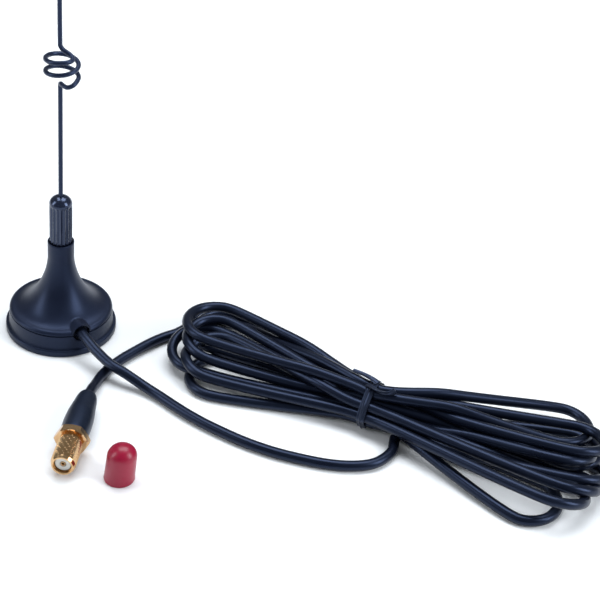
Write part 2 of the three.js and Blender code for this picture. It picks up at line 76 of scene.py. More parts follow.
floor_size = 6.0
floor_mesh = bpy.data.meshes.new("table")
floor_mesh.from_pydata(
    [(-floor_size, -floor_size, 0), (floor_size, -floor_size, 0),
     (floor_size, floor_size, 0), (-floor_size, floor_size, 0)], [], [(0, 1, 2, 3)])
floor = bpy.data.objects.new("table", floor_mesh)
bpy.context.collection.objects.link(floor)
paper = bpy.data.materials.new("white_paper")
paper.use_nodes = True
paper_shader = paper.node_tree.nodes["Principled BSDF"]
paper_grain = paper.node_tree.nodes.new("ShaderNodeTexNoise")
paper_tint = paper.node_tree.nodes.new("ShaderNodeValToRGB")
paper_grain.inputs["Scale"].default_value = 40
paper_tint.color_ramp.elements[0].color = (0.93, 0.935, 0.94, 1)
paper_tint.color_ramp.elements[1].color = (0.95, 0.95, 0.95, 1)
paper.node_tree.links.new(paper_grain.outputs["Fac"], paper_tint.inputs["Fac"])
paper.node_tree.links.new(paper_tint.outputs["Color"], paper_shader.inputs["Base Color"])
paper_shader.inputs["Roughness"].default_value = 0.9
paper_shader.inputs["Specular IOR Level"].default_value = 0.1
floor.data.materials.append(paper)


object_middle = Matrix.Translation((0.06, -0.02, 0.03)).translation


def soft_box(name, place, width, height, watts, tint):
    """A rectangular lamp at a place, turned to face the middle of the object."""
    lamp = bpy.data.lights.new(name, "AREA")
    lamp.shape = "RECTANGLE"
    lamp.size = width
    lamp.size_y = height
    lamp.energy = watts
    lamp.color = tint
    box = bpy.data.objects.new(name, lamp)
    box.location = place
    aim = (object_middle - box.location).normalized()
    box.rotation_euler = aim.to_track_quat("-Z", "Y").to_euler()
    bpy.context.collection.objects.link(box)


soft_box("overhead_box", (0.05, 0.25, 0.9), 0.9, 0.55, 9.0, (0.9, 0.95, 1.0))
soft_box("right_box", (0.75, -0.25, 0.42), 0.3, 0.6, 5.0, (0.9, 0.95, 1.0))
soft_box("left_box", (-0.7, -0.2, 0.4), 0.22, 0.6, 2.6, (0.9, 0.95, 1.0))
world = bpy.data.worlds.new("room")
world.use_nodes = True
world.node_tree.nodes["Background"].inputs["Color"].default_value = (0.92, 0.96, 1.0, 1)
world.node_tree.nodes["Background"].inputs["Strength"].default_value = 0.22
bpy.context.scene.world = world
bpy.context.scene.view_settings.view_transform = "Standard"
bpy.context.scene.view_settings.look = "None"


# ---- The lead ----
# Miniature coaxial cable with a black PVC jacket, one length from the base to the jack: out of the
# base, over its own other end, into the hank's bottom layer, back and forth, and out to the jack.
lead_diameter = 2.8 * MM
lead_radius = lead_diameter / 2
exit_height = 6.5 * MM
lead_from_base = np.array([
    [7.24, -11.15, 6.5], [8.9, -13.4, 6.3], [11.6, -16.4, 5.5], [14.6, -19.3, 4.8],
    [17.5, -21.9, 4.5], [20.3, -23.4, 4.1], [23.2, -24.6, 3.1], [26.8, -26.2, 1.9],
    [30.6, -28.6, 1.45], [34.8, -31.9, 1.4], [38.9, -35, 1.4], [42.8, -37.6, 1.4],
    [46.6, -39.8, 1.4], [54, -43.6, 1.4], [61.4, -46.4, 1.4], [68.5, -48.1, 1.4],
    [76.1, -49.2, 1.4], [82.6, -48.9, 1.4], [87.6, -47.2, 1.4], [91.1, -43.5, 1.4],
    [92.4, -40, 1.4], [92.5, -37.3, 1.4],
]) * MM
lead_to_jack = np.array([
    [37, 6.4, 1.4], [35.5, 4.2, 1.4], [34.1, 1.8, 1.4], [32.2, -0.6, 1.4], [29.4, -2.7, 1.4],
    [26.5, -5.3, 1.4], [23.7, -8.4, 1.4], [21.2, -11.5, 1.4], [18.7, -14.8, 1.4],
    [16.6, -18.2, 1.4], [15.1, -21.2, 1.4], [14.2, -24, 1.5], [13.7, -27.4, 2.2],
    [13.25, -30.9, 3.3], [12.93, -34.2, 4],
]) * MM
tie_at = np.array([86.0, -28.0, 0.0]) * MM
tie_turn = math.radians(-22)
tie_along = np.array([math.cos(tie_turn), math.sin(tie_turn), 0.0])
tie_aside = np.array([-math.sin(tie_turn), math.cos(tie_turn), 0.0])
fold_radius = 8.2 * MM
fold_turn = math.radians(18)
settle_rounds = 600
sharp_rounds = 39
reach_beyond = 1.5 * MM
hank_ceiling = 10.55 * MM
sink_each_round = 0.003 * MM

# The strands inside the tie lie in four rows; each row is filled back the way the last one came.
row_counts = (4, 5, 4, 2)
row_heights = (2.4, 4.85, 7.3, 9.6)
strand_slots = []
for row, (count, height) in enumerate(zip(row_counts, row_heights)):
    across = [(i - (count - 1) / 2) * lead_diameter for i in range(count)]
    for sideways in across[::-1] if row == 1 else across:
        strand_slots.append(tie_at + tie_aside * sideways + np.array([0, 0, height * MM]))

# Each fold: its outermost x, its middle y, the heights of its front and back strands, and whether
# the strand that comes into it is the front one.
right_folds = (
    (134.0, -54.5, 1.5, 1.5, False), (145.8, -45.0, 8.5, 2.2, True),
    (144.8, -35.5, 3.5, 1.5, False), (143.8, -41.0, 9.0, 2.0, False),
    (141.0, -54.5, 9.2, 2.6, False), (142.8, -49.5, 9.5, 2.0, True),
    (145.8, -39.0, 9.8, 4.5, True), (143.0, -29.5, 4.2, 3.2, True),
)
left_folds = (
    (37.5, -17.8, 1.4, 1.5, True), (40.0, 0.5, 1.5, 1.4, True), (37.5, -2.5, 4.2, 4.0, False),
    (32.3, -11.0, 1.8, 4.6, False), (36.5, -14.8, 3.6, 6.2, True), (35.5, -9.5, 5.2, 6.8, True),
    (34.8, -6.5, 8.2, 7.6, False),
)


def half_turn(fold, side):
    """Nine points of a half circle, tilted so that its two strands lie at their own heights."""
    end, middle, front, back, front_first = fold
    outward = np.array([side * math.cos(fold_turn), -side * math.sin(fold_turn), 0.0])
    tilt = (front - back) / 2 * MM
    flat = math.sqrt(fold_radius ** 2 - tilt ** 2)
    towards_front = np.array([-math.sin(fold_turn) * flat, -math.cos(fold_turn) * flat, tilt])
    centre = np.array([end * MM - side * fold_radius, middle * MM, (front + back) / 2 * MM])
    angle = np.linspace(0, math.pi, 9)[:, None]
    bend = centre + np.cos(angle) * towards_front + np.sin(angle) * fold_radius * outward
    return bend if front_first else bend[::-1]


def through_tie(slot, side):
    """Three points straight through the tie."""
    return np.array([strand_slots[slot] + side * step * MM * tie_along for step in (-5, 0, 5)])


def smooth_line(points, step):
    """A Catmull-Rom curve through the points, its knots spaced by the root of the distance between
    them, cut into even steps."""
    ends = np.vstack([2 * points[0] - points[1], points, 2 * points[-1] - points[-2]])
    knots = np.concatenate([[0], np.cumsum(np.linalg.norm(np.diff(ends, axis=0), axis=1) ** 0.5)])
    parts = []
    for i in range(1, len(ends) - 2):
        a, b, c, e = knots[i - 1:i + 3]
        t = np.linspace(b, c, 24, endpoint=False)[:, None]
        one = (b - t) / (b - a) * ends[i - 1] + (t - a) / (b - a) * ends[i]
        two = (c - t) / (c - b) * ends[i] + (t - b) / (c - b) * ends[i + 1]
        three = (e - t) / (e - c) * ends[i + 1] + (t - c) / (e - c) * ends[i + 2]
        low = (c - t) / (c - a) * one + (t - a) / (c - a) * two
        high = (e - t) / (e - b) * two + (t - b) / (e - b) * three
        parts.append((c - t) / (c - b) * low + (t - b) / (c - b) * high)
    line = np.vstack(parts + [ends[-2:-1]])
    run = np.concatenate([[0], np.cumsum(np.linalg.norm(np.diff(line, axis=0), axis=1))])
    stops = np.linspace(0, run[-1], int(round(run[-1] / step)) + 1)
    return np.stack([np.interp(stops, run, line[:, k]) for k in range(3)], axis=1)


def settled(line, held, step):
    """The line with strands that cross pushed a diameter apart. Each pair of points nearer than a
    diameter moves apart along the line between them, and the moves are averaged with their
    neighbours along the cord, so that it stays smooth."""
    moved = np.zeros_like(line)
    count = len(line)
    loose = (~held)[:, None]
    near = int(math.ceil(3.6 * lead_diameter / step))
    for turn_no in range(settle_rounds):
        place = line + moved
        if turn_no % 5 == 0:
            square = np.sum(place * place, axis=1)
            apart = square[:, None] + square[None] - 2 * place @ place.T
            one, two = np.where(np.triu(apart < (lead_diameter + reach_beyond) ** 2, near))
        between = place[one] - place[two]
        distance = np.linalg.norm(between, axis=1) + 1e-9
        short = np.clip(lead_diameter * 1.01 - distance, 0, None) / distance
        push = between * short[:, None] * 0.5
        total = np.stack([np.bincount(one, push[:, k], count) - np.bincount(two, push[:, k], count)
                          for k in range(3)], axis=1)
        touching = np.bincount(one, short > 0, count) + np.bincount(two, short > 0, count)
        moved += np.where(loose, total / np.maximum(1, touching * 0.5)[:, None], 0)
        moved[:, 2] -= np.where(loose[:, 0], sink_each_round, 0)
        for _ in range(1 if turn_no >= settle_rounds - sharp_rounds else 3):
            even = moved.copy()
            even[1:-1] = (moved[:-2] + 2 * moved[1:-1] + moved[2:]) / 4
            moved = np.where(loose, even, moved)
        height = np.clip(line[:, 2] + moved[:, 2], lead_radius, hank_ceiling)
        moved[:, 2] = np.where(held, moved[:, 2], height - line[:, 2])
        moved *= 0.9995
    return line + moved


hank_route = [np.array([[92.9, -34.9, 1.4], [95, -32.9, 1.4], [99, -33.3, 1.4], [106, -36.5, 1.4]]) * MM]
for number, fold in enumerate(right_folds):
    hank_route += [half_turn(fold, 1), through_tie(2 * number, -1)]
    if number < len(left_folds):
        hank_route += [half_turn(left_folds[number], -1), through_tie(2 * number + 1, 1)]
hank_route.append(np.array([[62, -7.5, 6.5], [52, 2, 4], [45, 7, 1.6], [40.5, 8.2, 1.4]]) * MM)
lead_line = smooth_line(np.vstack([lead_from_base] + hank_route + [lead_to_jack]), 2.2 * MM)
lead_step = float(np.mean(np.linalg.norm(np.diff(lead_line, axis=0), axis=1)))
walked = np.arange(len(lead_line)) * lead_step
free_start = np.sum(np.linalg.norm(np.diff(lead_from_base, axis=0), axis=1)) - 6 * MM
free_end = np.sum(np.linalg.norm(np.diff(lead_to_jack, axis=0), axis=1)) - 4 * MM
from_tie = lead_line - tie_at
in_tie = (np.abs(from_tie @ tie_along) < 3 * MM) & (np.abs(from_tie @ tie_aside) < 7.5 * MM)
kept = (walked < free_start) | (walked > walked[-1] - free_end) | (in_tie & (lead_line[:, 2] > 1.6 * MM))
lead_line = smooth_line(settled(lead_line, kept, lead_step), 1.5 * MM)


def mesh_object(name, points, faces, sharp=35):
    """A mesh object from vertices and faces, doubles merged, faces outwards, and edges steeper than
    the sharp angle in degrees left crisp."""
    data = bpy.data.meshes.new(name)
    data.from_pydata(np.asarray(points).reshape(-1, 3).tolist(), [], [list(map(int, f)) for f in faces])
    shape = bmesh.new()
    shape.from_mesh(data)
    bmesh.ops.remove_doubles(shape, verts=shape.verts, dist=1e-7)
    bmesh.ops.dissolve_degenerate(shape, edges=shape.edges, dist=1e-7)
    bmesh.ops.recalc_face_normals(shape, faces=shape.faces)
    shape.to_mesh(data)
    shape.free()
    data.shade_smooth()
    data.set_sharp_from_angle(angle=math.radians(sharp))
    made = bpy.data.objects.new(name, data)
    bpy.context.collection.objects.link(made)
    return made


def grid_faces(rows, columns, round_rows=True, round_columns=True):
    """Four-sided faces over a grid of rows by columns, each way joined round or left open."""
    r = np.arange(rows if round_rows else rows - 1)[:, None]
    c = np.arange(columns if round_columns else columns - 1)[None]
    below = (r + 1) % rows * columns
    beside = (c + 1) % columns
    corners = [r * columns + c, r * columns + beside, below + beside, below + c]
    return np.stack([k.reshape(-1) for k in np.broadcast_arrays(*corners)], axis=1)


def tube(name, line, radius, sides):
    """A round tube: at each point of the line a ring stands square to it, and each ring's
    direction is carried on from the last one without twist. Its ends are closed with flat caps."""
    along = np.gradient(line, axis=0)
    along /= np.linalg.norm(along, axis=1, keepdims=True)
    side = np.zeros_like(line)
    side[0] = np.cross(along[0], [0, 0, 1] if abs(along[0][2]) < 0.9 else [1, 0, 0])
    side[0] /= np.linalg.norm(side[0])
    for i in range(1, len(line)):
        carried = side[i - 1] - along[i] * np.dot(side[i - 1], along[i])
        side[i] = carried / np.linalg.norm(carried)
    other = np.cross(along, side)
    angle = np.arange(sides) * 2 * math.pi / sides
    width = np.broadcast_to(np.asarray(radius, float), (len(line),))[:, None, None]
    rings = line[:, None] + width * (np.cos(angle)[None, :, None] * side[:, None]
                                     + np.sin(angle)[None, :, None] * other[:, None])
    faces = grid_faces(len(line), sides, round_rows=False)
    first = len(line) * sides
    edge = np.arange(sides)
    start = np.stack([edge, (edge + 1) % sides, np.full(sides, first), np.full(sides, first)], axis=1)
    last = (len(line) - 1) * sides
    end = np.stack([last + edge, last + (edge + 1) % sides, np.full(sides, first + 1),
                    np.full(sides, first + 1)], axis=1)
    points = np.vstack([rings.reshape(-1, 3), line[:1], line[-1:]])
    fans = list(np.vstack([start, end])[:, :3])
    return mesh_object(name, points, list(faces) + fans, sharp=60)


def finish(name, colours, roughness, grain, depth, metal=0.0, coat=0.0, gloss=0.5, shine=(1, 1, 1)):
    """A surface whose fine grain comes from noise on the piece's own coordinates: the grain sets the
    bump, and a coarser noise moves the colour and the roughness between two values each."""
    made = bpy.data.materials.new(name)
    made.use_nodes = True
    nodes, links = made.node_tree.nodes, made.node_tree.links
    shader = nodes["Principled BSDF"]
    where = nodes.new("ShaderNodeTexCoord")
    fine = nodes.new("ShaderNodeTexNoise")
    fine.inputs["Scale"].default_value = grain
    fine.inputs["Detail"].default_value = 4
    broad = nodes.new("ShaderNodeTexNoise")
    broad.inputs["Scale"].default_value = grain / 14
    broad.inputs["Detail"].default_value = 3
    tint = nodes.new("ShaderNodeValToRGB")
    tint.color_ramp.elements[0].position = 0.3
    tint.color_ramp.elements[1].position = 0.7
    tint.color_ramp.elements[0].color = (*colours[0], 1)
    tint.color_ramp.elements[1].color = (*colours[1], 1)
    rough = nodes.new("ShaderNodeMapRange")
    rough.inputs["From Min"].default_value = 0.3
    rough.inputs["From Max"].default_value = 0.7
    rough.inputs["To Min"].default_value = roughness[0]
    rough.inputs["To Max"].default_value = roughness[1]
    bump = nodes.new("ShaderNodeBump")
    bump.inputs["Strength"].default_value = 0.6
    bump.inputs["Distance"].default_value = depth
    links.new(where.outputs["Object"], fine.inputs["Vector"])
    links.new(where.outputs["Object"], broad.inputs["Vector"])
    links.new(broad.outputs["Fac"], tint.inputs["Fac"])
    links.new(tint.outputs["Color"], shader.inputs["Base Color"])
    links.new(broad.outputs["Fac"], rough.inputs["Value"])
    links.new(rough.outputs["Result"], shader.inputs["Roughness"])
    links.new(fine.outputs["Fac"], bump.inputs["Height"])
    links.new(bump.outputs["Normal"], shader.inputs["Normal"])
    shader.inputs["Metallic"].default_value = metal
    shader.inputs["Specular IOR Level"].default_value = gloss
    shader.inputs["Specular Tint"].default_value = (*shine, 1)
    shader.inputs["Coat Weight"].default_value = coat
    shader.inputs["Coat Roughness"].default_value = 0.2
    return made


blue_shine = (0.42, 0.56, 1.0)
jacket = finish("black_pvc_jacket", ((0.003, 0.004, 0.009), (0.005, 0.007, 0.014)),
                (0.26, 0.36), 900, 0.00003, gloss=0.4, shine=blue_shine)
lead = tube("coaxial_lead", lead_line, lead_radius, 14)
lead.data.materials.append(jacket)
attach(lead, "base")
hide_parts("lead_from_base", "lead_hank", "lead_to_jack")


# ---- Twist tie ----
# A flat plastic ribbon with a wire down its middle, wrapped once round the hank. Of its two ends
# one curls up on top and the other lies flat along the strands.
ribbon_width = 2.2 * MM
ribbon_wire = 0.32 * MM
ribbon_web = 0.14 * MM


def ribbon(name, line, outward, closed):
    """A ribbon along a line: its section is a thin web that swells round the wire in the middle, as
    a bell curve of the distance from it. Outward is the direction its face looks at each point."""
    along = np.gradient(line, axis=0)
    if closed:
        along = np.roll(line, -1, axis=0) - np.roll(line, 1, axis=0)
    along /= np.linalg.norm(along, axis=1, keepdims=True)
    across = np.cross(along, outward)
    across /= np.linalg.norm(across, axis=1, keepdims=True)
    face = np.cross(across, along)
    width = np.linspace(-1, 1, 13)
    half = ribbon_web + ribbon_wire * np.exp(-(width / 0.22) ** 2)
    half[[0, -1]] *= 0.4
    section_x = np.concatenate([width, width[::-1]]) * ribbon_width / 2
    section_y = np.concatenate([half, -half[::-1]])
    points = (line[:, None] + section_x[None, :, None] * across[:, None]
              + section_y[None, :, None] * face[:, None])
    faces = list(grid_faces(len(line), len(section_x), round_rows=closed))
    if not closed:
        size = len(section_x)
        faces += [list(range(size)), [(len(line) - 1) * size + k for k in range(size)]]
    return mesh_object(name, points, faces, sharp=50)


band_angle = np.linspace(0, 2 * math.pi, 96, endpoint=False)
band_way = np.cos(band_angle)[:, None] * tie_aside + np.sin(band_angle)[:, None] * np.array([0, 0, 1.0])
slots = np.array(strand_slots)
furthest = slots[np.argmax(band_way @ slots.T, axis=1)]
band_line = furthest + band_way * (lead_radius + ribbon_web + 0.12 * MM)
band_line[:, 2] = np.maximum(band_line[:, 2], ribbon_web + ribbon_wire + 0.05 * MM)
for _ in range(3):
    band_line = (np.roll(band_line, 1, axis=0) + 2 * band_line + np.roll(band_line, -1, axis=0)) / 4
tie_band = ribbon("twist_tie_band", band_line, band_way, True)

tie_top = float(np.max(band_line[:, 2]))
tie_ends = []
for number, steps in enumerate((
        ((-1.2, -0.6, 0.25), (0.6, -1.6, 0.55), (3.0, -2.4, 0.7), (5.2, -2.2, 1.0), (6.6, -1.4, 1.8)),
        ((0.8, 1.2, 0.25), (-1.2, 1.8, 0.5), (-4.0, 2.6, 0.35), (-7.0, 3.0, 0.2)))):
    end_route = np.array([tie_at + tie_along * u * MM + tie_aside * v * MM
                          + np.array([0, 0, tie_top + w * MM]) for u, v, w in steps])
    end_line = smooth_line(end_route, 0.3 * MM)
    upright = np.linspace(0.2, 1.3 if number == 0 else 0.3, len(end_line))[:, None]
    way = np.cos(upright) * np.array([0, 0, 1.0]) + np.sin(upright) * tie_aside
    tie_ends.append(ribbon(f"twist_tie_end_{number + 1}", end_line, way, False))
tie_plastic = finish("tie_plastic", ((0.008, 0.010, 0.018), (0.014, 0.018, 0.030)),
                     (0.3, 0.42), 1200, 0.00003, shine=blue_shine)
for piece in [tie_band] + tie_ends:
    piece.data.materials.append(tie_plastic)
    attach(piece, "base")
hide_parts("twist_tie")


# ---- Jack: gold-plated body ----
# Turned from brass bar and plated: a hexagon flange, an undercut and a 1/4-36 thread with a tapered
# start. Everything on the jack is turned about its own axis.
def from_record(name):
    """A mount's place and direction from the record."""
    mount = next(m for m in frame["record"]["mounts"] if m["name"] == name)
    return np.array(mount["pos_m"]), np.array(mount["axis"])


jack_way = from_record("jack_mouth")[1]
jack_way = jack_way / np.linalg.norm(jack_way)
contact_low, contact_high = (np.array(corner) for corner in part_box("jack_contact"))
contact_tail = 2 * MM
contact_top = 10.55 * MM
jack_origin = (contact_low + contact_high) / 2 - jack_way * (contact_top - contact_tail) / 2
jack_side = np.cross([0, 0, 1.0], jack_way)


def turned(name, radii, heights, sides=96, origin=(0, 0, 0), way=(0, 0, 1.0), side=(1.0, 0, 0),
           closed=False, sharp=35):
    """A turned piece: radii and heights are arrays of profile by angle, or of profile alone, and a
    point lies at its radius round the axis and its height along it."""
    angle = np.arange(sides) * 2 * math.pi / sides
    radii = np.asarray(radii, float)
    heights = np.asarray(heights, float)
    radii = np.broadcast_to(radii if radii.ndim == 2 else radii[:, None], (len(radii), sides))
    heights = np.broadcast_to(heights if heights.ndim == 2 else heights[:, None], radii.shape)
    way, side = np.asarray(way, float), np.asarray(side, float)
    other = np.cross(way, side)
    ring = np.cos(angle)[:, None] * side + np.sin(angle)[:, None] * other
    points = np.asarray(origin) + radii[..., None] * ring + heights[..., None] * way
    return mesh_object(name, points, grid_faces(len(radii), sides, round_rows=closed), sharp)


def on_jack(name, profile, sides=64, closed=False, sharp=35):
    """A piece turned about the jack's axis from [radius, distance from the flange's back]."""
    profile = np.array(profile) * MM
    return turned(name, profile[:, 0], profile[:, 1], sides, jack_origin, jack_way, jack_side, closed, sharp)


hex_flats = 8.0
hex_thick = 2.0
hex_bevel = 0.45
hex_sides = 120
undercut_radius = 2.73
thread_radius = 3.175
hex_angle = (np.arange(hex_sides) * 2 * math.pi / hex_sides) % (math.pi / 3) - math.pi / 6
hex_radius = hex_flats / 2 / np.cos(hex_angle)
hex_corner = hex_flats / math.sqrt(3)
bevel = hex_bevel * np.clip((hex_radius - hex_flats / 2) / (hex_corner - hex_flats / 2), 0, 1)
face_radius = 0.97 * hex_flats / 2
flange_radii = [np.zeros(hex_sides), np.full(hex_sides, face_radius), hex_radius, hex_radius,
                np.full(hex_sides, face_radius), np.full(hex_sides, 2.9)]
flange_heights = [np.zeros(hex_sides), np.zeros(hex_sides), bevel + 0.05, hex_thick - bevel - 0.05,
                  np.full(hex_sides, hex_thick), np.full(hex_sides, hex_thick)]
thread_pitch = 25.4 / 36
thread_depth = 0.4
thread_from = hex_thick + 0.9
thread_to = 11.4
steps = np.linspace(thread_from, thread_to, 150)
wave = (steps[:, None] / thread_pitch - np.arange(hex_sides)[None] / hex_sides) % 1.0
tooth = np.clip(1.15 * np.abs(2 * wave - 1) - 0.08, 0, 1)
runout = np.clip((thread_to - steps) / 0.9, 0, 1)
lead_in = 0.45 * np.clip((steps - (thread_to - 0.9)) / 0.9, 0, 1)
groove = np.clip(thread_depth * (1 - tooth) * runout[:, None], 0, None)
thread_radii = np.minimum(thread_radius - lead_in[:, None], thread_radius - groove)
thread_radii[steps < thread_from + 0.05] = undercut_radius
thread_heights = np.broadcast_to(steps[:, None], thread_radii.shape)
mouth = [(2.72, 11.4), (2.35, 11.4), (2.35, 10.8), (2.2, 10.8), (2.2, 1.0), (1.2, 1.0), (1.2, -6.0),
         (2.2, -6.0), (2.2, -0.01), (0.0, -0.01)]
body_radii = np.vstack([np.array(flange_radii)[1:], [np.full(hex_sides, undercut_radius)], thread_radii,
                        [np.full(hex_sides, r) for r, _ in mouth[:-1]]]) * MM
body_heights = np.vstack([np.array(flange_heights)[1:], [np.full(hex_sides, hex_thick + 0.02)], thread_heights,
                          [np.full(hex_sides, h) for _, h in mouth[:-1]]]) * MM
jack_body = turned("jack_body_turned", body_radii, body_heights, hex_sides, jack_origin, jack_way, jack_side,
                   closed=True, sharp=28)
gold = finish("gold_plate", ((0.58, 0.36, 0.17), (0.70, 0.46, 0.25)), (0.12, 0.2), 700, 0.00001,
              metal=1.0)
jack_body.data.materials.append(gold)
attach(jack_body, "base")
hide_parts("jack_body")


# ---- Jack: insulator and contact ----
# White fluoropolymer pressed into the body, and the gold centre socket through it.
insulator = on_jack("jack_insulator_turned", [
    (0.82, 1.3), (2.03, 1.3), (2.03, 10.45), (1.93, 10.6), (0.95, 10.6), (0.82, 10.5)], closed=True)
natural_plastic = finish("white_insulator", ((0.72, 0.71, 0.66), (0.82, 0.81, 0.77)), (0.35, 0.5),
                         600, 0.00002)
insulator.data.materials.append(natural_plastic)
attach(insulator, "base")
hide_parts("jack_insulator")
contact = on_jack("jack_contact_turned", [
    (0, -2), (0.65, -2), (0.65, 10.3), (0.55, 10.5), (0.42, 10.5), (0.36, 10.35), (0.36, 6.5), (0, 6.5)],
    sides=32)
contact.data.materials.append(gold)
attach(contact, "base")
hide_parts("jack_contact")


# ---- Jack: heat-shrunk boot ----
# A sleeve shrunk over the crimp and on to the lead. It follows what is under it: thick over the
# crimp, then drawn down in a curve to the jacket, with a slightly wavy surface from the heat.
boot_back = -16.6
boot_sides = 64
boot_bore = 1.45
crimp_bore = 2.95
boot_key = np.array([(2.15, 0.0), (2.5, 0.7), (2.75, 2.0), (3.0, 4.0), (3.3, 6.0), (3.56, 8.0), (3.66, 10.0),
                     (3.7, 12.0), (3.66, 14.0), (3.6, 15.7), (3.52, 16.3)])
boot_steps = np.linspace(0, 16.3, 60)
boot_radius = np.interp(boot_steps, boot_key[:, 1], boot_key[:, 0])
for _ in range(2):
    boot_radius[1:-1] = (boot_radius[:-2] + 2 * boot_radius[1:-1] + boot_radius[2:]) / 4
boot_angle = np.arange(boot_sides) * 2 * math.pi / boot_sides
ripple = 0.035 * np.sin(2 * boot_angle + 1)[None] * np.sin(boot_steps * 0.7)[:, None]
boot_outer = boot_radius[:, None] + ripple
boot_inner = [np.full((1, boot_sides), r) for r in (crimp_bore, crimp_bore, boot_bore, boot_bore, 1.75)]
boot_radii = np.vstack([boot_outer] + boot_inner) * MM
boot_heights = np.concatenate([boot_back + boot_steps, [-0.3, -7.6, -7.6, boot_back, boot_back]]) * MM
boot = turned("heat_shrunk_boot", boot_radii, boot_heights, boot_sides, jack_origin, jack_way, jack_side,
              closed=True, sharp=45)
heat_shrink = finish("heat_shrink", ((0.003, 0.005, 0.010), (0.005, 0.008, 0.016)), (0.34, 0.46),
                     500, 0.00005, gloss=0.45, shine=blue_shine)
boot.data.materials.append(heat_shrink)
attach(boot, "base")
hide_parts("jack_boot")


# ---- Base ring ----
# The lower moulding: a foot rim with rounded edges, and the plain band up to the seam. Its top edge
# dips where the lead comes out.
exit_turn = math.radians(-57)
hole_radius = 2.35
base_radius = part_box("base_ring")[1][0] / MM
ring_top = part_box("base_ring")[1][2] / MM
band_radius = 13.95
band_foot = 14.2
rim_height = 2.0
exit_z = exit_height / MM
near_exit = exit_turn + np.radians(np.linspace(-17, 17, 121))
elsewhere = exit_turn + np.radians(np.linspace(17, 343, 151))[1:-1]
base_angle = np.concatenate([near_exit, elsewhere])
off_exit = (base_angle - exit_turn + math.pi) % (2 * math.pi) - math.pi


def hole_half(radius, away):
    """Half the height of a round hole of that radius, at a distance to all_round side of its middle."""
    return np.sqrt(np.clip(radius ** 2 - away ** 2, 0, None))


def around_base(name, radii, heights, sharp=35):
    """A closed shape round the base's axis; radii and heights are arrays of profile by angle."""
    radii, heights = np.array(radii) * MM, np.array(heights) * MM
    points = np.stack([radii * np.cos(base_angle), radii * np.sin(base_angle), heights], axis=2)
    return mesh_object(name, points, grid_faces(len(radii), len(base_angle)), sharp)


sideways = np.where(np.cos(off_exit) > 0, band_radius * np.sin(off_exit), 99)
dip = np.where(np.abs(sideways) < hole_radius, exit_z - hole_half(hole_radius, sideways), 99)
ring_edge = np.minimum(ring_top, dip)
all_round = np.ones(len(base_angle))
ring_radii, ring_heights = [13.9 * all_round], [0 * all_round]
rim_round = 0.42
groove_radius = 0.22
for a in np.linspace(-90, 0, 7):
    ring_radii.append((base_radius - rim_round + rim_round * math.cos(math.radians(a))) * all_round)
    ring_heights.append((rim_round + rim_round * math.sin(math.radians(a))) * all_round)
for a in np.linspace(0, 90, 7):
    ring_radii.append((base_radius - rim_round + rim_round * math.cos(math.radians(a))) * all_round)
    ring_heights.append((rim_height - rim_round + rim_round * math.sin(math.radians(a))) * all_round)
for a in np.linspace(0, 90, 5):
    ring_radii.append((band_foot + groove_radius * (1 - math.sin(math.radians(a)))) * all_round)
    ring_heights.append((rim_height + groove_radius * (1 - math.cos(math.radians(a)))) * all_round)
for share in np.linspace(0.08, 1, 14):
    ring_radii.append((band_foot + (band_radius - band_foot) * share) * all_round)
    ring_heights.append(rim_height + groove_radius + (ring_edge - rim_height - groove_radius) * share)
ring_heights[-1] = ring_edge - 0.06
ring_radii += [(band_radius - 0.08) * all_round, 12.9 * all_round, 12.9 * all_round, 13.9 * all_round]
ring_heights += [ring_edge, ring_edge, 0.8 * all_round, 0.8 * all_round]
ring = around_base("base_ring_moulding", ring_radii, ring_heights)
rim_plastic = finish("black_rim_plastic", ((0.004, 0.006, 0.014), (0.006, 0.009, 0.020)),
                     (0.34, 0.44), 1500, 0.00002, gloss=0.4, shine=blue_shine)
ring.data.materials.append(rim_plastic)
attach(ring, "base")
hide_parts("base_ring")


# ---- Cover ----
# The upper moulding: a straight neck that widens as a trumpet to a rounded shoulder, with a half
# round hood over the lead. The neck is hollow at the top, where the ferrule sits.
cover_low, cover_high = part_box("base_cover")
cover_foot = cover_low[2] / MM
neck_height = cover_high[2] / MM
shoulder = 1.1
neck_radius = 3.55
flare_top = 23.0
flare_power = 1.7
hood_radius = 2.72
hood_fall = 0.13
flare_share = 1 - (1 - np.linspace(1, 0, 64)) ** 1.5
flare_r = neck_radius + (band_radius - shoulder - neck_radius) * (
    1 - (1 - flare_share ** flare_power) ** (1 / flare_power))
flare_z = flare_top - (flare_top - cover_foot - shoulder) * flare_share
shoulder_bend = np.radians(np.linspace(0, 90, 10))[:-1]
outer_r = np.concatenate([band_radius - shoulder + shoulder * np.cos(shoulder_bend), flare_r,
                          [neck_radius] * 4, [neck_radius - 0.05, neck_radius - 0.14]])
outer_z = np.concatenate([cover_foot + shoulder * np.sin(shoulder_bend), flare_z,
                          [24.5, 26, 27.3, neck_height - 0.14], [neck_height - 0.05, neck_height]])


def hood_height(radius, at):
    """Height of a half-round ridge over the lead's way out, and a steep fall beside it."""
    away = np.abs(at * np.sin(off_exit))
    ridge = exit_z + hole_half(radius, away) - 5 * np.clip(away - radius, 0, None)
    ridge = ridge - hood_fall * (band_radius - at)
    return np.where(np.cos(off_exit) > 0, ridge, -99.0)


